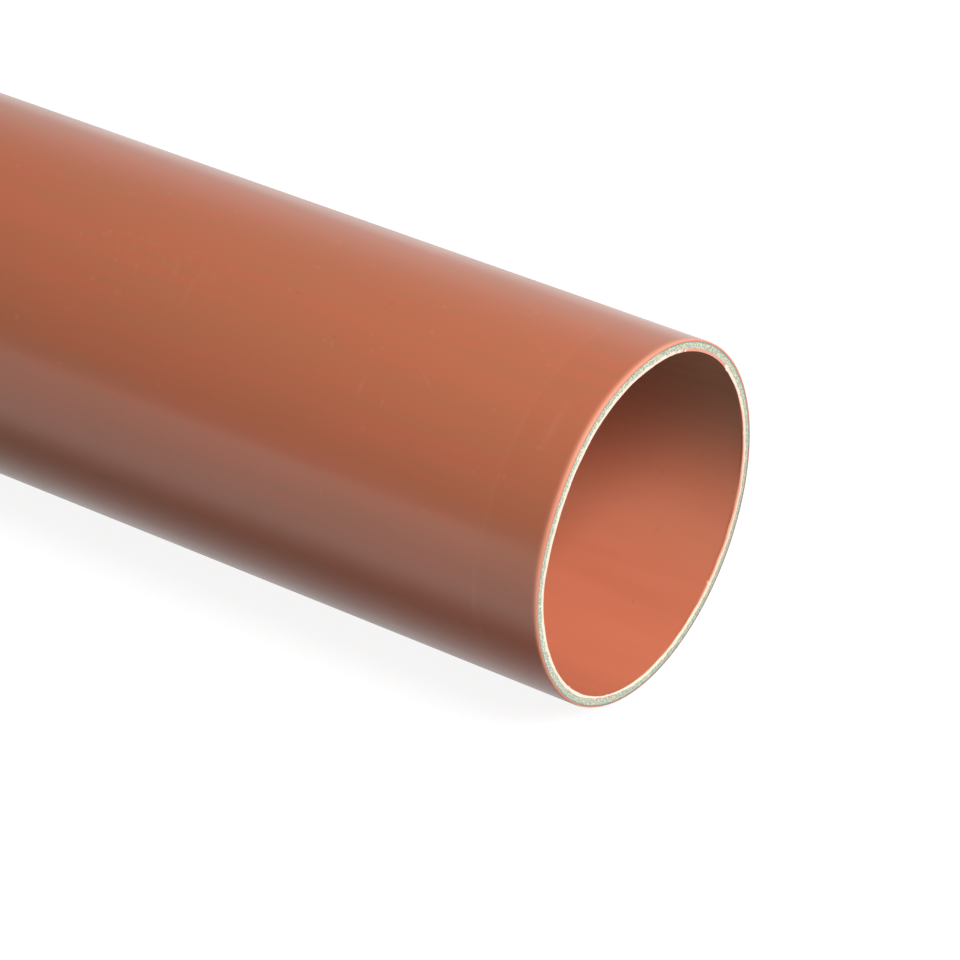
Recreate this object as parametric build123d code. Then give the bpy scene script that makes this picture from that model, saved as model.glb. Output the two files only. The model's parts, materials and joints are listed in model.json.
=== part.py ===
from build123d import *
import os

# A plain-ended length of three-layer sewer pipe: a coloured skin outside and inside, and a
# granular core between them. It lies along X with its sawn, hand-deburred end at +X, and its
# underside touches Z = 0 below the middle of its length.

# Driving dimensions, in millimetres and degrees
OUTSIDE_DIAMETER = 110.0
LENGTH = 1000.0
OUTER_SKIN = 0.55
CORE = 2.1
INNER_SKIN = 0.85

# Edges left by the scraper: the outer one just dulled, the bore's one scraped wide and flat except
# along one stretch of the front end
DULLED_DROP = 0.3
DULLED_LENGTH = 2.0
DEBURR_WIDTH = 1.2
DEBURR_DEPTH = 0.3
MISSED_ARC = 29.0
MISSED_FROM_TOP = 37.5

# The cutter for a scraped edge is the removed corner drawn this much larger, so that it passes
# clear of the end face and the wall.
CUTTER_SCALE = 2.0
FULL_TURN = 360.0

# Radii and places that follow from them
outer_radius = OUTSIDE_DIAMETER / 2
core_outer_radius = outer_radius - OUTER_SKIN
core_inner_radius = core_outer_radius - CORE
bore_radius = core_inner_radius - INNER_SKIN
front_end = LENGTH / 2
pipe_axis = Axis((0, 0, outer_radius), (1, 0, 0))
middle_section = Plane(origin=(0, 0, outer_radius), x_dir=(0, 1, 0), z_dir=(1, 0, 0))


def plain_tube():
    """The extruded wall, cut square at both ends."""
    ring = middle_section * (Circle(outer_radius) - Circle(bore_radius))
    return extrude(ring, amount=LENGTH / 2, both=True)


def corner_section(corner_radius, face_radius, length):
    """The corner that a scraper takes off the front end: up to one radius on the end face, and back
    along the wall by the length. It is drawn in the plane of the pipe's axis, above it."""
    corner = Vector(front_end, 0, outer_radius + corner_radius)
    on_end_face = Vector(front_end, 0, outer_radius + face_radius)
    on_wall = corner - Vector(length, 0, 0)
    middle = (on_wall + on_end_face) / 2
    points = [middle + (point - middle) * CUTTER_SCALE for point in (on_wall, corner, on_end_face)]
    return make_face(Polyline(*points, close=True))


def dulled_edge():
    """The ring that is scraped off the outer edge."""
    section = corner_section(outer_radius, outer_radius - DULLED_DROP, DULLED_LENGTH)
    return revolve(section, axis=pipe_axis)


def deburred_edge(missed_arc):
    """The ring that is scraped off the bore's edge, without the stretch that was missed."""
    section = corner_section(bore_radius, bore_radius + DEBURR_WIDTH, DEBURR_DEPTH)
    swept = revolve(section, axis=pipe_axis, revolution_arc=FULL_TURN - missed_arc)
    return swept.rotate(pipe_axis, missed_arc / 2 - MISSED_FROM_TOP)


def at_back(front_cut):
    """The same cut at the back end."""
    return mirror(front_cut, about=Plane.YZ)


def rod(radius):
    """A round bar on the pipe's axis, longer than the pipe, that divides the wall into layers."""
    return extrude(middle_section * Circle(radius), amount=LENGTH, both=True)


def wall_layers():
    """The finished wall, divided where one material meets the next."""
    wall = plain_tube()
    for cut in (dulled_edge(), deburred_edge(MISSED_ARC), at_back(dulled_edge()), at_back(deburred_edge(0.0))):
        wall = wall - cut
    return {
        "outer_skin": wall - rod(core_outer_radius),
        "core": (wall & rod(core_outer_radius)) - rod(core_inner_radius),
        "inner_skin": wall & rod(core_inner_radius),
    }


os.makedirs("parts", exist_ok=True)
for name, layer in wall_layers().items():
    export_step(layer, f"parts/{name}.step")
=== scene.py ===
import json
import math

import bpy
import numpy as np
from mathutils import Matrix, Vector


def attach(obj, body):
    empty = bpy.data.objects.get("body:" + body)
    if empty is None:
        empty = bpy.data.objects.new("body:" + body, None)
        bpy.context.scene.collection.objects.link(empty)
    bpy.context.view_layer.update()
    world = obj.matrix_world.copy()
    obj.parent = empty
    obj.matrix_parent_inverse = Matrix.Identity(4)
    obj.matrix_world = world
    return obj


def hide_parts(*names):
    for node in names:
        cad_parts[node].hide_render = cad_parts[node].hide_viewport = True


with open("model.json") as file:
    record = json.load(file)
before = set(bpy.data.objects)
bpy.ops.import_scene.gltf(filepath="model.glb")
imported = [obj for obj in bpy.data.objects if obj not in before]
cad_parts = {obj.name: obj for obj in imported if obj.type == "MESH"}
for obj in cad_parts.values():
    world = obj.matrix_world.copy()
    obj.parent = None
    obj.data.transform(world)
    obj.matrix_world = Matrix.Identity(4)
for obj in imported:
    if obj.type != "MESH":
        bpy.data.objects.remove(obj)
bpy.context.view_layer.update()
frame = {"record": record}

# Sizes are in metres and angles in degrees. Angles round the pipe count from its top towards +Y.
# Left is -Y and right is +Y, as seen from the front end.
MM = 0.001
FULL_TURN = 360.0
HALF_TURN = FULL_TURN / 2

# The pipe's own sizes, from the frame
mounts = {mount["name"]: mount for mount in frame["record"]["mounts"]}
OUTER_RADIUS = mounts["front_spigot"]["dims"]["r_mm"] * MM
BORE_RADIUS = mounts["bore"]["dims"]["r_mm"] * MM
FRONT_X = mounts["front_face"]["pos_m"][0]
BACK_X = mounts["back_face"]["pos_m"][0]
AXIS_HEIGHT = mounts["bore"]["pos_m"][2]

# Layers of the wall. The inner skin came out of the die thinner along the bottom.
OUTER_SKIN = 0.55 * MM
INNER_SKIN = 0.85 * MM
INNER_SKIN_THINNING = 0.38 * MM
THIN_MIDDLE = 180.0
THIN_REACH = 75.0
CORE_OUTER_RADIUS = OUTER_RADIUS - OUTER_SKIN

# Front saw cut: a little out of square, and wavy on the -Y side
SAW_LEAN = 0.48 * MM
SAW_LEAN_TURN = 27.0
SAW_WAVE = 0.22 * MM
SAW_WAVE_LENGTH = 65.0
SAW_WAVE_CREST = -90.0
SAW_WAVE_MIDDLE = -60.0
SAW_WAVE_REACH = 95.0

# Outer edge, dulled by the scraper: shallower on the right, and shorter low on the left
DULLED_DROP = 0.3 * MM
DULLED_SHALLOWER = 0.22 * MM
SHALLOWER_MIDDLE = 60.0
SHALLOWER_REACH = 75.0
DULLED_LENGTH = 2.0 * MM
DULLED_SHORTER = 1.0 * MM
SHORTER_MIDDLE = -120.0
SHORTER_REACH = 55.0
DULLED_CURVE = 3.5
DULLED_RINGS = 12

# Tint of the dulled edge, part wear and part painted highlight: how far back it ends, in the edge's own
# lengths, and how fast it falls
DULLED_FADE = 1.3
DULLED_FALL = 1.6

# Scraped edge of the bore: wider to the left and right, narrower at the bottom, and deepest low on the right
SCRAPE_WIDTH = 0.92 * MM
SCRAPE_WIDER_LEFT = 0.25 * MM
LEFT_MIDDLE = -65.0
LEFT_REACH = 75.0
SCRAPE_WIDER_RIGHT = 0.42 * MM
RIGHT_MIDDLE = 108.0
RIGHT_REACH = 62.0
SCRAPE_NARROWER = 0.55 * MM
NARROW_MIDDLE = -157.0
NARROW_REACH = 22.0
SCRAPE_DEPTH = 0.1 * MM
SCRAPE_DEEPER = 0.36 * MM
DEEPER_MIDDLE = 140.0
DEEPER_REACH = 75.0
SCRAPE_WAVER = 0.1

# The lip that the scraper turned over into the bore, with a few bumps, and one nick in the edge
LIP = 0.08 * MM
LIP_WIDER = 0.34 * MM
LIP_WINDOW = (-88.0, -68.0, 2.0, 14.0)
LIP_WAVER = 0.05 * MM
LIP_LENGTH = 0.6 * MM
LIP_BUMP = 0.25 * MM
LIP_BUMP_REACH = 1.2
LIP_BUMPS = (-157.6, -131.0, 52.9, 85.0)
NICK_TURN = 138.0
NICK_REACH = 1.0
NICK_DEPTH = 0.35 * MM

# The stretch that the scraper missed, with a ragged start and a sharp end
MISSED_FROM = 24.5
MISSED_TO = 50.5
MISSED_RAGGED = 10.0
MISSED_SHARP = 0.8
RAGGED_SWING = 2.5

# How much of the scraped width shows the skin's salmon at the bore, instead of smeared cream
SALMON_SHARE = 0.08
SALMON_MORE = 0.42
SALMON_MIDDLE = 112.0
SALMON_REACH = 62.0
SALMON_FADE = 0.14

# Where the end is darker and duller, low on the right
DARKER_RIGHT_MIDDLE = 125.0
DARKER_RIGHT_REACH = 85.0

# Torn grain of the saw cut, and the core's dark border beside the outer skin, in shares of the core
GRAIN_RELIEF = 0.04 * MM
BORDER_STARTS = 0.72
BORDER_FULL = 0.95

# Mesh density
OUTER_SEGMENTS = 720
CORE_SEGMENTS = 2160
INNER_SEGMENTS = 1440
CORE_FACE_RINGS = 17
INNER_FACE_RINGS = 11
LENGTH_RINGS = 25
RIM_STEPS = (0.1 * MM, 0.25 * MM, 0.5 * MM, 0.9 * MM, 1.5 * MM, 3.0 * MM, 6.0 * MM)
SHARP_ANGLE = 25.0

# Wavering of hand work: its seed, and its fewest and most waves round the pipe
WIDTH_WAVES = (3, 8, 90)
DEPTH_WAVES = (5, 5, 40)
LIP_WAVES = (21, 3, 30)
RAGGED_WAVES = (8, 80, 220)

# Seeds of the grain
FRONT_GRAIN_SEED = 11
BACK_GRAIN_SEED = 12

# Marks of handling: distance back from the front end, turn, length, width, and slant from lengthwise
PALE_MARKS = (
    (182.6 * MM, -29.6, 1.5 * MM, 1.2 * MM, 0.0),
    (178.8 * MM, -8.8, 1.7 * MM, 1.4 * MM, 0.0),
    (175.9 * MM, -27.0, 1.7 * MM, 1.3 * MM, 0.0),
    (171.0 * MM, -41.5, 1.6 * MM, 1.4 * MM, 0.0),
    (168.6 * MM, -3.0, 2.4 * MM, 1.5 * MM, 0.0),
    (168.5 * MM, -23.5, 1.6 * MM, 1.3 * MM, 0.0),
    (167.0 * MM, -33.3, 2.0 * MM, 1.7 * MM, 0.0),
    (161.0 * MM, -43.0, 3.4 * MM, 1.4 * MM, 0.0),
    (145.3 * MM, -21.8, 1.5 * MM, 1.3 * MM, 0.0),
    (137.0 * MM, -64.0, 3.2 * MM, 1.2 * MM, 70.0),
    (110.1 * MM, -23.0, 1.7 * MM, 1.4 * MM, 0.0),
    (107.8 * MM, -11.4, 2.2 * MM, 1.6 * MM, 0.0),
    (93.9 * MM, -2.8, 1.7 * MM, 1.3 * MM, 0.0),
    (90.4 * MM, -34.5, 1.6 * MM, 1.4 * MM, 0.0),
    (87.5 * MM, -34.8, 1.7 * MM, 1.5 * MM, 0.0),
    (78.0 * MM, -27.8, 1.5 * MM, 1.2 * MM, 0.0),
    (75.5 * MM, -78.0, 3.0 * MM, 1.1 * MM, 85.0),
    (72.5 * MM, -43.5, 7.0 * MM, 1.7 * MM, 95.0),
    (72.1 * MM, -30.7, 1.9 * MM, 1.6 * MM, 0.0),
    (64.0 * MM, -46.3, 3.0 * MM, 1.3 * MM, 90.0),
    (62.0 * MM, -19.7, 1.9 * MM, 1.6 * MM, 0.0),
    (54.7 * MM, -34.9, 11.0 * MM, 0.8 * MM, 37.0),
    (30.6 * MM, -36.7, 1.6 * MM, 1.4 * MM, 0.0),
    (28.4 * MM, -55.7, 1.8 * MM, 1.5 * MM, 0.0),
    (28.4 * MM, -12.4, 1.6 * MM, 1.3 * MM, 0.0),
    (23.7 * MM, -16.7, 1.7 * MM, 1.3 * MM, 0.0),
    (21.9 * MM, -92.0, 23.0 * MM, 2.0 * MM, 90.0),
)
DARK_MARKS = (
    (106.9 * MM, -23.0, 1.7 * MM, 1.4 * MM, 0.0),
    (89.7 * MM, 2.6, 1.5 * MM, 1.3 * MM, 0.0),
    (88.1 * MM, -32.4, 1.6 * MM, 1.4 * MM, 0.0),
    (78.9 * MM, -15.3, 2.0 * MM, 1.6 * MM, 0.0),
)
BORE_MARKS = (
    (26.9 * MM, 109.0, 3.0 * MM, 2.0 * MM, 20.0),
    (22.9 * MM, 128.0, 3.5 * MM, 1.6 * MM, 40.0),
)
SCUFFED_PATCH = (151.0 * MM, -31.0, 60.0 * MM, 21.0 * MM, 0.0)
RIM_STREAK = (11.2 * MM, -35.0, 19.0 * MM, 3.2 * MM, 90.0)

# How far out a mark fades away, in its own half lengths and half widths
MARK_FADE = 1.3

# Line that a clamp left round the outside, back from the front end. Between it and the front end the outside
# has painted shade.
CLAMP_LINE = 20.5 * MM
CLAMP_LINE_WIDTH = 2.0 * MM

# Specks: their spacing and size, the share of the places that have one, and the strength of the tint
PALE_SPECKS = (9.0 * MM, 1.1 * MM, 0.5, 0.12)
DARK_SPECKS = (14.0 * MM, 1.0 * MM, 0.3, 0.1)
BORE_DARK_SPECKS = (6.0 * MM, 0.6 * MM, 0.45, 0.25)
BORE_PALE_SPECKS = (16.0 * MM, 0.5 * MM, 0.4, 0.4)

# Strengths of the other tints
PALE_MARKS_TINT = 0.13
DARK_MARKS_TINT = 0.22
BORE_MARKS_TINT = 0.1
SCUFFED_TINT = 0.1
RIM_STREAK_TINT = 0.09
CLAMP_LINE_TINT = 0.04
NEAR_END_PAINTED_SHADE_TINT = 0.04
DULLED_EDGE_HIGHLIGHT_TINT = 0.95
FLECKS_TINT = 0.5
PITS_TINT = 0.95
DARKER_RIGHT_TINT = 0.5

# Noise of the surfaces: its waves to the metre along X, Y and Z, and its octaves
STREAKS = ((18.0, 300.0, 300.0), 2.0)
PATCHES = ((22.0, 45.0, 45.0), 2.0)
SWELLS = ((14.0, 110.0, 110.0), 1.0)
PEEL = ((420.0, 600.0, 600.0), 2.0)
SCUFFS = ((420.0, 200.0, 1.0), 1.0)
BORE_STREAKS = ((10.0, 120.0, 120.0), 2.0)
SCRATCHES = ((40.0, 350.0, 350.0), 1.0)
FLECKS = ((1300.0, 1300.0, 1300.0), 3.0)
TEARS = ((2600.0, 2600.0, 2600.0), 3.0)
GRAINS = ((2300.0, 2300.0, 2300.0), 1.0)
PITS = ((2900.0, 2900.0, 2900.0), 1.0)

# Levels of the noise between which a surface changes from one state to the other
TONE_LEVELS = (0.36, 0.64)
ROUGH_LEVELS = (0.3, 0.7)
SCUFF_LEVELS = (0.5, 0.72)
BORE_TONE_LEVELS = (0.35, 0.65)
FLECK_LEVELS = (0.56, 0.7)
TEAR_LEVELS = (0.3, 0.7)
GRAIN_LEVELS = (0.46, 0.58)
PIT_LEVELS = (0.52, 0.62)

# Shares of two noises in one pattern, and how far tears shift the border of the smeared cream
STREAKS_SHARE = 0.6
PATCHES_SHARE = 0.4
PEEL_SHARE = 0.1
TEAR_SHIFT = 0.3
TORN_BORDER = (0.25, 0.75)

# Where the bore's painted light and shade changes, in bore radii above the axis: a paler tone at mid-height
# and painted shade towards the top
BORE_PAINTED_SHADING_HEIGHTS = (-0.9, -0.5, 0.5)

# Gloss and fine relief
OUTSIDE_ROUGHNESS = (0.17, 0.23)
OUTSIDE_SPECULAR = 0.75
OUTSIDE_BUMP = 0.15
OUTSIDE_BUMP_DEPTH = 0.12 * MM
DULLED_ROUGHER = 0.15
BORE_ROUGHNESS = (0.4, 0.52)
BORE_REFRACTION = 1.5
BORE_BUMP = 0.05
BORE_BUMP_DEPTH = 0.05 * MM
CORE_ROUGHNESS = 0.8
CORE_BUMP = 0.4
CORE_BUMP_DEPTH = 0.1 * MM

# Camera: its place in outer radii from the middle of the front end, its direction, and its lens in mm
CAMERA_FROM_END = Vector((11.0437, -17.1132, 13.1887))
CAMERA_LOOKS = Vector((-0.48764, 0.68934, -0.53574))
CAMERA_LENS = 176.131
CAMERA_SENSOR = 36.0

# Surround: its strength as a light, and what reflections see of it by direction, from -1 to 1 along Y and Z
WHITE = (1.0, 1.0, 1.0, 1.0)
SURROUND_LIGHT = 0.12
SURROUND_DIM_SIDE = 0.15
SURROUND_SKYLINE = 0.36
SURROUND_DIM_TOP = 0.2
SURROUND_FAR = 0.74
SKYLINE_Z = (0.2, 0.04)
SIDES_Y = (-0.7, 0.3)
TOP_Z = (0.2, 0.9)

# Floor, and the strip beside the pipe where reflections see it dimmer, by distance from the pipe's axis: a
# painted shadow of the pipe that only reflections see, with painted light under the pipe
FLOOR_SIZE = 14.0
FLOOR_BOUNCE = (0.36, 0.36, 0.36, 1.0)
FLOOR_GLOW = 0.9
FLOOR_SHADE = (0.2, 0.2, 0.2, 1.0)
FLOOR_PAINTED_SHADOW = 0.23
FLOOR_DIM_NEAR = 30.0 * MM
FLOOR_DIM_MIDDLE = 70.0 * MM
FLOOR_DIM_FAR = 114.0 * MM
FLOOR_PAINTED_LIGHT_BELOW = 0.68
FLOOR_FAR = 0.92

# Soft box before the open end
FRONT_LIGHT_ELEVATION = 46.0
FRONT_LIGHT_TURN = -9.0
FRONT_LIGHT_DISTANCE = 2.0
FRONT_LIGHT_SIZE = 1.2
FRONT_LIGHT_POWER = 64.0

# Colours of the skins, the fresh cuts through them, the scraped edge and the core
SKIN_RED = (0.505, 0.143, 0.072, 1.0)
SKIN_BROWN = (0.465, 0.149, 0.072, 1.0)
SKIN_PALE = (0.62, 0.30, 0.22, 1.0)
SKIN_DARK = (0.20, 0.07, 0.04, 1.0)
BORE_RED = (0.59, 0.163, 0.086, 1.0)
BORE_BROWN = (0.555, 0.156, 0.082, 1.0)
# Painted light and shade of the bore by height: a paler tone at mid-height and a greyer, darker shade towards
# the top
BORE_PAINTED_PALE_MIDDLE = (0.62, 0.205, 0.115, 1.0)
BORE_PAINTED_SHADE_TOP = (0.28, 0.20, 0.137, 1.0)
SAWN_ORANGE = (0.80, 0.22, 0.115, 1.0)
SAWN_RED = (0.50, 0.13, 0.08, 1.0)
# Bright salmon on the dulled outer edge: part scraper wear, part painted highlight of the light on its
# rounding
DULLED_EDGE_HIGHLIGHT_SALMON = (0.84, 0.335, 0.22, 1.0)
SAWN_SALMON = (0.72, 0.30, 0.21, 1.0)
SCRAPED_CREAM = (0.85, 0.76, 0.62, 1.0)
SCRAPED_PEACH = (0.84, 0.60, 0.42, 1.0)
SCRAPED_PINK = (0.80, 0.46, 0.34, 1.0)
CORE_GREEN = (0.385, 0.435, 0.34, 1.0)
CORE_CREAM = (0.77, 0.74, 0.57, 1.0)
CORE_DARK = (0.17, 0.24, 0.21, 1.0)
CORE_TEAL = (0.31, 0.39, 0.33, 1.0)

# Places of the sockets on the mix node
MIX_SHARE = 0
MIX_FIRST_VALUE = 2
MIX_SECOND_VALUE = 3
MIX_FIRST_COLOUR = 6
MIX_SECOND_COLOUR = 7
MIXED_VALUE = 0
MIXED_COLOUR = 2


def round_angles(count):
    """Angles all the way round in degrees, from -180, with the top at 0."""
    return np.arange(count) * (FULL_TURN / count) - HALF_TURN


def waver(angles, waves):
    """A wavy line round the pipe, of about unit size, that meets itself after a full turn."""
    seed, lowest, highest = waves
    random = np.random.default_rng(seed)
    total = np.zeros_like(angles)
    for order in range(lowest, highest + 1):
        total += random.normal() * np.cos(np.radians(order * angles + random.uniform(0, FULL_TURN)))
    return total / math.sqrt((highest - lowest + 1) / 2)


def smooth_step(values, start, end):
    """0 before start, 1 after end, and smooth between them."""
    share = np.clip((values - start) / (end - start), 0.0, 1.0)
    return share * share * (3 - 2 * share)


def lobe(angles, middle, reach):
    """1 at the middle angle, falling smoothly to 0 at the reach on both sides."""
    away = (angles - middle + HALF_TURN) % FULL_TURN - HALF_TURN
    return (1 + np.cos(math.pi * np.clip(away / reach, -1.0, 1.0))) / 2


def inner_skin_depth(angles):
    """Thickness of the inner skin round the pipe."""
    return INNER_SKIN - INNER_SKIN_THINNING * lobe(angles, THIN_MIDDLE, THIN_REACH)


def saw_depth(angles):
    """How far the front saw cut lies behind its furthest point."""
    lean = SAW_LEAN * (1 + np.cos(np.radians(angles - SAW_LEAN_TURN)))
    waves = np.cos(np.radians((angles - SAW_WAVE_CREST) * FULL_TURN / SAW_WAVE_LENGTH))
    return lean + SAW_WAVE * lobe(angles, SAW_WAVE_MIDDLE, SAW_WAVE_REACH) * waves


def scraped_share(angles):
    """1 where the scraper went round the front edge and 0 along the stretch that it missed."""
    ragged = angles + RAGGED_SWING * waver(angles, RAGGED_WAVES)
    before = 1 - smooth_step(ragged, MISSED_FROM - MISSED_RAGGED, MISSED_FROM)
    after = smooth_step(angles, MISSED_TO, MISSED_TO + MISSED_SHARP)
    return np.clip(before + after, 0.0, 1.0)


def turned_lip(angles):
    """How far the scraped edge's lip stands into the bore."""
    rises, full, falls, ends = LIP_WINDOW
    wide = smooth_step(angles, rises, full) * (1 - smooth_step(angles, falls, ends))
    lip = LIP + LIP_WIDER * wide + LIP_WAVER * waver(angles, LIP_WAVES)
    for bump in LIP_BUMPS:
        lip = lip + LIP_BUMP * lobe(angles, bump, LIP_BUMP_REACH)
    return np.maximum(lip, 0.0)


class Edge:
    """One end, by the angle round it: the saw cut, the bore's scraped edge and the dulled outer edge."""

    def __init__(self, angles, end_x, inwards):
        flat = np.zeros_like(angles)
        self.end_x = end_x
        self.inwards = inwards
        self.core_radius = BORE_RADIUS + inner_skin_depth(angles)
        self.saw = flat
        self.width = flat + INNER_SKIN
        self.depth = flat + SCRAPE_DEPTH
        self.lip = flat
        self.share = flat + 1
        self.salmon = flat + SALMON_SHARE
        self.pressed = flat
        self.dulled_drop = flat + DULLED_DROP
        self.dulled_length = flat + DULLED_LENGTH

    def cut(self, radius):
        """How far the scraped edge lies below the sawn face at this radius."""
        return self.depth * np.clip(1 - (radius - BORE_RADIUS) / self.width, 0.0, 1.0)

    def cream(self, radius):
        """1 where the scraper smeared the edge to cream, and 0 on the sawn face and the bare skin."""
        across = (BORE_RADIUS + self.width - radius) / (self.width + self.lip)
        bare = smooth_step(across, 1 - self.salmon - SALMON_FADE, 1 - self.salmon + SALMON_FADE)
        return smooth_step(across, 0.0, SALMON_FADE) * (1 - bare) * self.share

    def along(self, depth):
        """The place along the pipe at this depth below the end."""
        return self.end_x + self.inwards * (self.saw + depth)


def front_edge(angles):
    """The front end, sawn and scraped by hand."""
    edge = Edge(angles, FRONT_X, -1)
    edge.saw = saw_depth(angles)
    edge.share = scraped_share(angles)
    width = SCRAPE_WIDTH + SCRAPE_WIDER_LEFT * lobe(angles, LEFT_MIDDLE, LEFT_REACH)
    width = width + SCRAPE_WIDER_RIGHT * lobe(angles, RIGHT_MIDDLE, RIGHT_REACH)
    width = width - SCRAPE_NARROWER * lobe(angles, NARROW_MIDDLE, NARROW_REACH)
    edge.width = width * (1 + SCRAPE_WAVER * waver(angles, WIDTH_WAVES))
    depth = SCRAPE_DEPTH + SCRAPE_DEEPER * lobe(angles, DEEPER_MIDDLE, DEEPER_REACH)
    depth = depth * (1 + SCRAPE_WAVER * waver(angles, DEPTH_WAVES))
    edge.depth = (depth + NICK_DEPTH * lobe(angles, NICK_TURN, NICK_REACH)) * edge.share
    edge.lip = turned_lip(angles) * edge.share
    edge.salmon = SALMON_SHARE + SALMON_MORE * lobe(angles, SALMON_MIDDLE, SALMON_REACH)
    edge.pressed = lobe(angles, DARKER_RIGHT_MIDDLE, DARKER_RIGHT_REACH)
    edge.dulled_drop = DULLED_DROP - DULLED_SHALLOWER * lobe(angles, SHALLOWER_MIDDLE, SHALLOWER_REACH)
    edge.dulled_length = DULLED_LENGTH - DULLED_SHORTER * lobe(angles, SHORTER_MIDDLE, SHORTER_REACH)
    return edge


def back_edge(angles):
    """The back end, cut square and scraped evenly all round."""
    return Edge(angles, BACK_X, 1)


def grain(ring_count, segment_count, seed):
    """Pits of about unit size over a ring, for the torn grains of the saw cut."""
    random = np.random.default_rng(seed)
    lumps = random.normal(size=(ring_count, segment_count))
    lumps = (lumps + np.roll(lumps, 1, 1) + np.roll(lumps, -1, 1)) / 3
    padded = np.pad(lumps, ((1, 1), (0, 0)), mode="edge")
    lumps = (padded[:-2] + padded[1:-1] + padded[2:]) / 3
    return np.abs(lumps) / lumps.std()


def closed_tube(name, rings):
    """A closed solid turned about the pipe's axis, from rings that follow its outline round."""
    along = np.array([ring["along"] for ring in rings])
    radius = np.array([ring["radius"] for ring in rings])
    angles = np.radians(round_angles(along.shape[1]))
    points = np.stack([along, radius * np.sin(angles), AXIS_HEIGHT + radius * np.cos(angles)], axis=-1)
    here = np.arange(along.size).reshape(along.shape)
    ahead = np.roll(here, -1, 0)
    quads = np.stack([here, np.roll(here, -1, 1), np.roll(ahead, -1, 1), ahead], axis=-1)
    mesh = bpy.data.meshes.new(name)
    mesh.from_pydata(points.reshape(-1, 3).tolist(), [], quads.reshape(-1, 4).tolist())
    for title in rings[0]["marks"]:
        layer = mesh.attributes.new(title, "FLOAT", "POINT")
        values = np.array([ring["marks"][title] for ring in rings], np.float32)
        layer.data.foreach_set("value", values.ravel())
    mesh.polygons.foreach_set("use_smooth", np.ones(len(mesh.polygons), bool))
    mesh.set_sharp_from_angle(angle=math.radians(SHARP_ANGLE))
    mesh.update()
    piece = bpy.data.objects.new(name, mesh)
    bpy.context.scene.collection.objects.link(piece)
    return piece


def ring(along, radius, **marks):
    """One ring of a turned solid, with the marks that its material reads."""
    flat = np.zeros(np.broadcast(along, radius).shape)
    spread = {title: flat + value for title, value in marks.items()}
    return {"along": flat + along, "radius": flat + radius, "marks": spread}


def dulled_rings(edge):
    """Rings over one end of the outer skin, from the core to the plain outside."""
    rings = [ring(edge.along(0.0), CORE_OUTER_RADIUS, sawn=1.0, dulled=0.0, pressed=edge.pressed)]
    for share in np.linspace(0, 1, DULLED_RINGS):
        back = edge.dulled_length * share
        radius = OUTER_RADIUS - edge.dulled_drop * (1 - share) ** DULLED_CURVE
        # This mark also sets the painted highlight on the edge, fading back from it
        dulled = (1 - smooth_step(share, 0.0, DULLED_FADE)) ** DULLED_FALL
        sawn = float(share == 0)
        rings.append(ring(edge.along(back), radius, sawn=sawn, dulled=dulled, pressed=edge.pressed))
    faded = edge.along(edge.dulled_length * DULLED_FADE)
    rings.append(ring(faded, OUTER_RADIUS, sawn=0.0, dulled=0.0, pressed=edge.pressed))
    return rings


def make_outer_skin():
    """The outer skin, with its two dulled edges."""
    angles = round_angles(OUTER_SEGMENTS)
    flat = np.zeros_like(angles)
    front = dulled_rings(front_edge(angles))
    back = dulled_rings(back_edge(angles))
    lengthwise = np.linspace(FRONT_X, BACK_X, LENGTH_RINGS)[1:-1]
    sides = [ring(flat + along, OUTER_RADIUS, sawn=0.0, dulled=0.0, pressed=0.0) for along in lengthwise]
    return closed_tube("outer_skin_turned", front + sides + back[::-1])


def core_face(edge, seed):
    """Rings over one end of the core, from the inside out."""
    rings = []
    shares = np.linspace(0, 1, CORE_FACE_RINGS)
    for share, pits in zip(shares, grain(CORE_FACE_RINGS, len(edge.saw), seed)):
        radius = edge.core_radius + (CORE_OUTER_RADIUS - edge.core_radius) * share
        scraped = edge.cream(radius)
        depth = edge.cut(radius) + GRAIN_RELIEF * pits * (1 - scraped)
        border = smooth_step(share, BORDER_STARTS, BORDER_FULL)
        rings.append(ring(edge.along(depth), radius, scraped=scraped, border=border, pressed=edge.pressed))
    return rings


def make_core():
    """The core, with a torn saw cut at both ends and the scraped edge where it reaches in."""
    angles = round_angles(CORE_SEGMENTS)
    front = core_face(front_edge(angles), FRONT_GRAIN_SEED)
    back = core_face(back_edge(angles), BACK_GRAIN_SEED)
    return closed_tube("core_turned", front + back[::-1])


def bore_end(edge):
    """Rings over one end of the inner skin, from the core to the bore's wall."""
    rings = []
    for share in np.linspace(0, 1, INNER_FACE_RINGS):
        radius = edge.core_radius + (BORE_RADIUS - edge.lip - edge.core_radius) * share
        along = edge.along(edge.cut(radius))
        cream = edge.cream(radius)
        rings.append(ring(along, radius, sawn=1.0, scraped=cream, pressed=edge.pressed))
    for step in RIM_STEPS:
        fade = 1 - smooth_step(step, 0.0, LIP_LENGTH)
        along = edge.along(edge.depth + step)
        bare = fade * edge.share
        rings.append(ring(along, BORE_RADIUS - edge.lip * fade, sawn=bare, scraped=0.0, pressed=edge.pressed))
    return rings


def make_inner_skin():
    """The inner skin, with the bore's wall and its scraped ends."""
    angles = round_angles(INNER_SEGMENTS)
    flat = np.zeros_like(angles)
    front = bore_end(front_edge(angles))
    back = bore_end(back_edge(angles))
    lengthwise = np.linspace(BACK_X, FRONT_X, LENGTH_RINGS)[1:-1]
    wall = [ring(flat + along, BORE_RADIUS, sawn=0.0, scraped=0.0, pressed=0.0) for along in lengthwise]
    return closed_tube("inner_skin_turned", back + wall + front[::-1])


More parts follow.
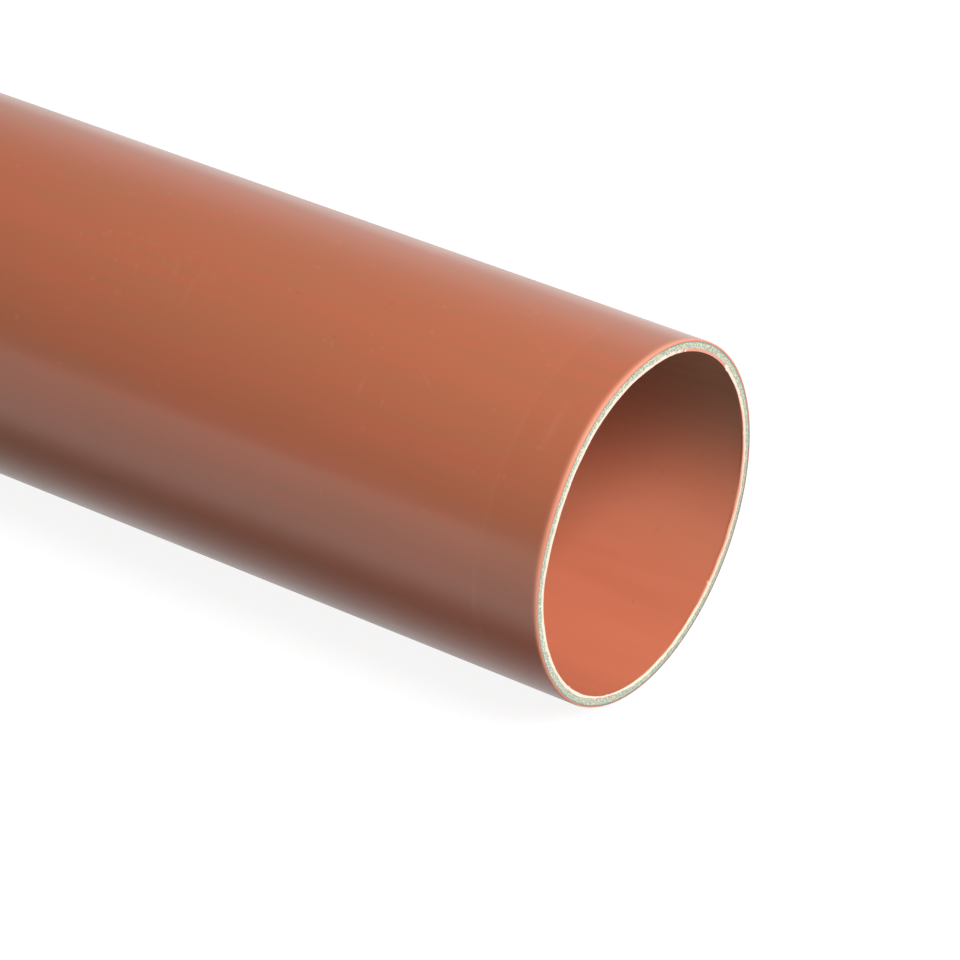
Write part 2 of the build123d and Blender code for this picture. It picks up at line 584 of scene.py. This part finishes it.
def node(tree, kind, values=None, **settings):
    """Adds a shader node. A value that is another node's socket is linked, and the rest are set."""
    made = tree.nodes.new(kind)
    for title, setting in settings.items():
        setattr(made, title, setting)
    for title, value in (values or {}).items():
        if isinstance(value, bpy.types.NodeSocket):
            tree.links.new(value, made.inputs[title])
        else:
            made.inputs[title].default_value = value
    return made


def reckon(tree, operation, first, second=0.0):
    """A sum, product or other plain reckoning of two values."""
    return node(tree, "ShaderNodeMath", {0: first, 1: second}, operation=operation).outputs[0]


def ramp(tree, value, start, end, low=0.0, high=1.0):
    """A smooth change from low to high while the value goes from start to end."""
    made = node(tree, "ShaderNodeMapRange", {
        "Value": value, "From Min": start, "From Max": end, "To Min": low, "To Max": high,
    }, interpolation_type="SMOOTHSTEP")
    return made.outputs["Result"]


def blend(tree, share, first, second):
    """A mix of two colours."""
    values = {MIX_SHARE: share, MIX_FIRST_COLOUR: first, MIX_SECOND_COLOUR: second}
    return node(tree, "ShaderNodeMix", values, data_type="RGBA").outputs[MIXED_COLOUR]


def between(tree, share, first, second):
    """A mix of two values."""
    values = {MIX_SHARE: share, MIX_FIRST_VALUE: first, MIX_SECOND_VALUE: second}
    return node(tree, "ShaderNodeMix", values).outputs[MIXED_VALUE]


def tint(tree, colour, share, strength, second):
    """A colour with some of a second one, where the share says and at most as strong as this."""
    return blend(tree, reckon(tree, "MULTIPLY", share, strength), colour, second)


def noise(tree, place, kind):
    """Noise of about 0 to 1, of this kind."""
    waves, octaves = kind
    scaled = node(tree, "ShaderNodeMapping", {"Vector": place, "Scale": waves})
    made = node(tree, "ShaderNodeTexNoise", {"Vector": scaled.outputs[0], "Scale": 1.0, "Detail": octaves})
    return made.outputs["Fac"]


def bumps(tree, relief, strength, depth):
    """Shading of a fine relief, this deep."""
    values = {"Height": relief, "Strength": strength, "Distance": depth}
    return node(tree, "ShaderNodeBump", values).outputs[0]


def mark(tree, title):
    """A mark that the mesh carries."""
    return node(tree, "ShaderNodeAttribute", attribute_name=title).outputs["Fac"]


def ragged_mark(tree, title, place):
    """A mark that the mesh carries, broken up along its border at the size of the grain."""
    shift = ramp(tree, noise(tree, place, TEARS), *TEAR_LEVELS, -TEAR_SHIFT, TEAR_SHIFT)
    return ramp(tree, reckon(tree, "ADD", mark(tree, title), shift), *TORN_BORDER)


def speckle(tree, colour, place, kind, second):
    """A colour with round specks of a second one, of this kind, that fade from a third of their size on."""
    spacing, size, share, strength = kind
    cells = node(tree, "ShaderNodeTexVoronoi", {"Vector": place, "Scale": 1 / spacing})
    near = ramp(tree, cells.outputs["Distance"], size / spacing, size / spacing / 3)
    chosen = node(tree, "ShaderNodeSeparateColor", {"Color": cells.outputs["Color"]}).outputs["Red"]
    shown = reckon(tree, "MULTIPLY", near, reckon(tree, "LESS_THAN", chosen, share))
    return tint(tree, colour, shown, strength, second)


def object_place(tree):
    """Places on the part, in metres."""
    return node(tree, "ShaderNodeTexCoord").outputs["Object"]


def unrolled_place(tree, place, radius):
    """A round wall laid out flat, as the distance back from the front end and the arc from the top."""
    split = node(tree, "ShaderNodeSeparateXYZ", {"Vector": place})
    height = reckon(tree, "SUBTRACT", split.outputs["Z"], AXIS_HEIGHT)
    turn = reckon(tree, "ARCTAN2", split.outputs["Y"], height)
    back = reckon(tree, "SUBTRACT", FRONT_X, split.outputs["X"])
    arc = reckon(tree, "MULTIPLY", turn, radius)
    return node(tree, "ShaderNodeCombineXYZ", {"X": back, "Y": arc}).outputs[0]


def spot(tree, unrolled, radius, place):
    """A soft oval mark at one place on an unrolled wall."""
    back, turn, length, width, slant = place
    moved = node(tree, "ShaderNodeMapping", {
        "Vector": unrolled,
        "Location": (back, math.radians(turn) * radius, 0.0),
        "Rotation": (0.0, 0.0, math.radians(slant)),
        "Scale": (length / 2, width / 2, 1.0),
    }, vector_type="TEXTURE")
    away = node(tree, "ShaderNodeVectorMath", {0: moved.outputs[0]}, operation="LENGTH").outputs["Value"]
    return ramp(tree, away, MARK_FADE, 0.0)


def spots(tree, unrolled, radius, places):
    """Soft oval marks at several places on an unrolled wall."""
    total = spot(tree, unrolled, radius, places[0])
    for place in places[1:]:
        total = reckon(tree, "MAXIMUM", total, spot(tree, unrolled, radius, place))
    return total


def scuffs(tree, unrolled, radius, patch):
    """Short strokes round the pipe inside one patch."""
    strokes = ramp(tree, noise(tree, unrolled, SCUFFS), *SCUFF_LEVELS)
    return reckon(tree, "MULTIPLY", strokes, spot(tree, unrolled, radius, patch))


def new_material(name):
    """A material with an empty node tree and its output."""
    material = bpy.data.materials.new(name)
    material.use_nodes = True
    material.node_tree.nodes.clear()
    output = node(material.node_tree, "ShaderNodeOutputMaterial")
    return material, material.node_tree, output


def handled_colour(tree, colour, place):
    """The outside's colour with its specks, the scuffs and marks of handling, the clamp line, and painted
    shade between the clamp line and the front end.
    """
    unrolled = unrolled_place(tree, place, OUTER_RADIUS)
    back = node(tree, "ShaderNodeSeparateXYZ", {"Vector": unrolled}).outputs["X"]
    colour = speckle(tree, colour, place, PALE_SPECKS, SKIN_PALE)
    colour = speckle(tree, colour, place, DARK_SPECKS, SKIN_DARK)
    scuffed = scuffs(tree, unrolled, OUTER_RADIUS, SCUFFED_PATCH)
    colour = tint(tree, colour, scuffed, SCUFFED_TINT, SKIN_PALE)
    streak = spot(tree, unrolled, OUTER_RADIUS, RIM_STREAK)
    colour = tint(tree, colour, streak, RIM_STREAK_TINT, SKIN_PALE)
    pale = spots(tree, unrolled, OUTER_RADIUS, PALE_MARKS)
    colour = tint(tree, colour, pale, PALE_MARKS_TINT, SKIN_PALE)
    dark = spots(tree, unrolled, OUTER_RADIUS, DARK_MARKS)
    colour = tint(tree, colour, dark, DARK_MARKS_TINT, SKIN_DARK)
    from_line = reckon(tree, "ABSOLUTE", reckon(tree, "SUBTRACT", back, CLAMP_LINE))
    half_line = CLAMP_LINE_WIDTH / 2
    colour = tint(tree, colour, ramp(tree, from_line, half_line, 0.0), CLAMP_LINE_TINT, SKIN_PALE)
    # Painted shade from the clamp line to the front end
    painted_shade_near_end = ramp(tree, back, CLAMP_LINE + half_line, CLAMP_LINE - half_line)
    return tint(tree, colour, painted_shade_near_end, NEAR_END_PAINTED_SHADE_TINT, SKIN_DARK)


def outside_material():
    """Extruded terracotta plastic: satin, faintly streaked along its length, and marked by handling."""
    material, tree, output = new_material("terracotta_outside")
    place = object_place(tree)
    streaks = reckon(tree, "MULTIPLY", noise(tree, place, STREAKS), STREAKS_SHARE)
    patches = noise(tree, place, PATCHES)
    tone = reckon(tree, "ADD", streaks, reckon(tree, "MULTIPLY", patches, PATCHES_SHARE))
    colour = blend(tree, ramp(tree, tone, *TONE_LEVELS), SKIN_RED, SKIN_BROWN)
    colour = handled_colour(tree, colour, place)
    # The dulled edge's salmon tint is part wear and part painted highlight
    colour = tint(tree, colour, mark(tree, "dulled"), DULLED_EDGE_HIGHLIGHT_TINT, DULLED_EDGE_HIGHLIGHT_SALMON)
    sawn = blend(tree, mark(tree, "pressed"), SAWN_ORANGE, SAWN_RED)
    colour = blend(tree, mark(tree, "sawn"), colour, sawn)
    rough = ramp(tree, patches, *ROUGH_LEVELS, *OUTSIDE_ROUGHNESS)
    rough = reckon(tree, "ADD", rough, reckon(tree, "MULTIPLY", mark(tree, "dulled"), DULLED_ROUGHER))
    peel = reckon(tree, "MULTIPLY", noise(tree, place, PEEL), PEEL_SHARE)
    relief = reckon(tree, "ADD", noise(tree, place, SWELLS), peel)
    shader = node(tree, "ShaderNodeBsdfPrincipled", {
        "Base Color": colour, "Roughness": rough, "Specular IOR Level": OUTSIDE_SPECULAR,
        "Normal": bumps(tree, relief, OUTSIDE_BUMP, OUTSIDE_BUMP_DEPTH),
    })
    tree.links.new(shader.outputs[0], output.inputs["Surface"])
    return material


def bore_colour(tree, place):
    """The bore's colour: streaked along the bottom, paler at mid-height and greyer towards the top by painted
    light and shade, and specked.
    """
    streaks = noise(tree, place, BORE_STREAKS)
    colour = blend(tree, ramp(tree, streaks, *BORE_TONE_LEVELS), BORE_RED, BORE_BROWN)
    height = node(tree, "ShaderNodeSeparateXYZ", {"Vector": place}).outputs["Z"]
    low, middle, high = [AXIS_HEIGHT + share * BORE_RADIUS for share in BORE_PAINTED_SHADING_HEIGHTS]
    # Painted light and shade by height: a paler tone at mid-height, and a greyer, darker one towards the top
    colour = blend(tree, ramp(tree, height, low, middle), colour, BORE_PAINTED_PALE_MIDDLE)
    colour = blend(tree, ramp(tree, height, middle, high), colour, BORE_PAINTED_SHADE_TOP)
    colour = speckle(tree, colour, place, BORE_DARK_SPECKS, SKIN_DARK)
    colour = speckle(tree, colour, place, BORE_PALE_SPECKS, SKIN_PALE)
    unrolled = unrolled_place(tree, place, BORE_RADIUS)
    marks = spots(tree, unrolled, BORE_RADIUS, BORE_MARKS)
    return tint(tree, colour, marks, BORE_MARKS_TINT, SKIN_DARK)


def inside_material():
    """The bore's terracotta skin, duller than the outside, with its sawn end and its scraped edge."""
    material, tree, output = new_material("terracotta_inside")
    place = object_place(tree)
    colour = bore_colour(tree, place)
    colour = blend(tree, mark(tree, "sawn"), colour, SAWN_SALMON)
    cream = blend(tree, mark(tree, "pressed"), SCRAPED_CREAM, SCRAPED_PEACH)
    flecks = ramp(tree, noise(tree, place, FLECKS), *FLECK_LEVELS)
    cream = tint(tree, cream, flecks, FLECKS_TINT, SCRAPED_PINK)
    colour = blend(tree, ragged_mark(tree, "scraped", place), colour, cream)
    scratches = noise(tree, place, SCRATCHES)
    shader = node(tree, "ShaderNodeBsdfPrincipled", {
        "Base Color": colour, "Roughness": ramp(tree, scratches, *ROUGH_LEVELS, *BORE_ROUGHNESS),
        "IOR": BORE_REFRACTION, "Normal": bumps(tree, scratches, BORE_BUMP, BORE_BUMP_DEPTH),
    })
    tree.links.new(shader.outputs[0], output.inputs["Surface"])
    return material


def core_material():
    """Granular core: sage grains and cream ones, dull, and smeared to cream where it was scraped."""
    material, tree, output = new_material("granular_core")
    place = object_place(tree)
    grains = noise(tree, place, GRAINS)
    colour = blend(tree, ramp(tree, grains, *GRAIN_LEVELS), CORE_GREEN, CORE_CREAM)
    pits = ramp(tree, noise(tree, place, PITS), *PIT_LEVELS)
    colour = tint(tree, colour, pits, PITS_TINT, CORE_DARK)
    colour = tint(tree, colour, mark(tree, "pressed"), DARKER_RIGHT_TINT, CORE_TEAL)
    colour = blend(tree, mark(tree, "border"), colour, CORE_DARK)
    cream = blend(tree, mark(tree, "pressed"), SCRAPED_CREAM, SCRAPED_PEACH)
    colour = blend(tree, ragged_mark(tree, "scraped", place), colour, cream)
    shader = node(tree, "ShaderNodeBsdfPrincipled", {
        "Base Color": colour, "Roughness": CORE_ROUGHNESS,
        "Normal": bumps(tree, grains, CORE_BUMP, CORE_BUMP_DEPTH),
    })
    tree.links.new(shader.outputs[0], output.inputs["Surface"])
    return material


def dress(piece, node_name, material):
    """Puts a finished piece in place of its solid."""
    piece.data.materials.append(material)
    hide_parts(node_name)
    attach(piece, "root")


def make_camera():
    """The photograph's view, looking down on the front end from its left."""
    data = bpy.data.cameras.new("camera")
    data.lens = CAMERA_LENS
    data.sensor_width = CAMERA_SENSOR
    camera = bpy.data.objects.new("camera", data)
    camera.location = Vector((FRONT_X, 0, AXIS_HEIGHT)) + CAMERA_FROM_END * OUTER_RADIUS
    camera.rotation_euler = CAMERA_LOOKS.to_track_quat("-Z", "Y").to_euler()
    bpy.context.scene.collection.objects.link(camera)
    bpy.context.scene.camera = camera


def shown_rays(tree):
    """Whether a ray shows the surface by a reflection, and whether it comes from the camera."""
    path = node(tree, "ShaderNodeLightPath")
    mirrored = reckon(tree, "MAXIMUM", path.outputs["Is Glossy Ray"], path.outputs["Is Transmission Ray"])
    return mirrored, path.outputs["Is Camera Ray"]


def make_surround():
    """A white surround, dim as a light. In reflections it is dimmer overhead, and on the -Y side above a pale
    skyline."""
    world = bpy.data.worlds.new("surround")
    bpy.context.scene.world = world
    world.use_nodes = True
    tree = world.node_tree
    tree.nodes.clear()
    mirrored, camera = shown_rays(tree)
    direction = node(tree, "ShaderNodeTexCoord").outputs["Generated"]
    split = node(tree, "ShaderNodeSeparateXYZ", {"Vector": direction})
    side = ramp(tree, split.outputs["Z"], *SKYLINE_Z, SURROUND_DIM_SIDE, SURROUND_SKYLINE)
    sideways = ramp(tree, split.outputs["Y"], *SIDES_Y, side, SURROUND_FAR)
    upwards = ramp(tree, split.outputs["Z"], *TOP_Z, 1.0, SURROUND_DIM_TOP)
    looks = reckon(tree, "MULTIPLY", sideways, upwards)
    lit = between(tree, mirrored, SURROUND_LIGHT, looks)
    strength = between(tree, camera, lit, 1.0)
    background = node(tree, "ShaderNodeBackground", {"Color": WHITE, "Strength": strength})
    output = node(tree, "ShaderNodeOutputWorld")
    tree.links.new(background.outputs[0], output.inputs["Surface"])


def floor_material():
    """White to the camera but for the shadow, grey as a light, and in reflections a painted shadow beside the
    pipe, with painted light under it.
    """
    material, tree, output = new_material("floor")
    mirrored, camera = shown_rays(tree)
    seen = reckon(tree, "MAXIMUM", mirrored, camera)
    bounced = node(tree, "ShaderNodeBsdfDiffuse", {"Color": FLOOR_BOUNCE})
    glow = node(tree, "ShaderNodeEmission", {"Color": WHITE, "Strength": FLOOR_GLOW})
    shade = node(tree, "ShaderNodeBsdfDiffuse", {"Color": FLOOR_SHADE})
    lifted = node(tree, "ShaderNodeAddShader", {0: glow.outputs[0], 1: shade.outputs[0]})
    sideways = node(tree, "ShaderNodeSeparateXYZ", {"Vector": object_place(tree)}).outputs["Y"]
    away = reckon(tree, "ABSOLUTE", sideways)
    # In reflections only: a painted shadow in a strip beside the pipe, and painted light under the pipe
    outer = ramp(tree, away, FLOOR_DIM_MIDDLE, FLOOR_DIM_FAR, FLOOR_PAINTED_SHADOW, FLOOR_FAR)
    below = ramp(tree, away, FLOOR_DIM_MIDDLE, FLOOR_DIM_NEAR, FLOOR_PAINTED_SHADOW, FLOOR_PAINTED_LIGHT_BELOW)
    strength = reckon(tree, "MAXIMUM", outer, below)
    mirror = node(tree, "ShaderNodeEmission", {"Color": WHITE, "Strength": strength})
    shown = node(tree, "ShaderNodeMixShader", {0: mirrored, 1: lifted.outputs[0], 2: mirror.outputs[0]})
    mixed = node(tree, "ShaderNodeMixShader", {0: seen, 1: bounced.outputs[0], 2: shown.outputs[0]})
    tree.links.new(mixed.outputs[0], output.inputs["Surface"])
    return material


def make_floor():
    """A pale floor that looks white and still takes the pipe's shadow."""
    half = FLOOR_SIZE / 2
    mesh = bpy.data.meshes.new("floor")
    corners = [(-half, -half, 0), (half, -half, 0), (half, half, 0), (-half, half, 0)]
    mesh.from_pydata(corners, [], [(0, 1, 2, 3)])
    mesh.materials.append(floor_material())
    floor = bpy.data.objects.new("floor", mesh)
    bpy.context.scene.collection.objects.link(floor)


def make_front_light():
    """A large soft box before the open end, high enough to light the floor of the bore."""
    target = Vector((FRONT_X, 0, AXIS_HEIGHT))
    rise = math.radians(FRONT_LIGHT_ELEVATION)
    turn = math.radians(FRONT_LIGHT_TURN)
    away = Vector((math.cos(rise) * math.cos(turn), math.cos(rise) * math.sin(turn), math.sin(rise)))
    data = bpy.data.lights.new("front_light", "AREA")
    data.shape = "SQUARE"
    data.size = FRONT_LIGHT_SIZE
    data.energy = FRONT_LIGHT_POWER
    light = bpy.data.objects.new("front_light", data)
    light.location = target + away * FRONT_LIGHT_DISTANCE
    light.rotation_euler = away.to_track_quat("Z", "Y").to_euler()
    light.visible_camera = False
    bpy.context.scene.collection.objects.link(light)


dress(make_outer_skin(), "outer_skin", outside_material())
dress(make_core(), "core", core_material())
dress(make_inner_skin(), "inner_skin", inside_material())
make_camera()
make_surround()
make_floor()
make_front_light()
bpy.context.scene.view_settings.view_transform = "Standard"
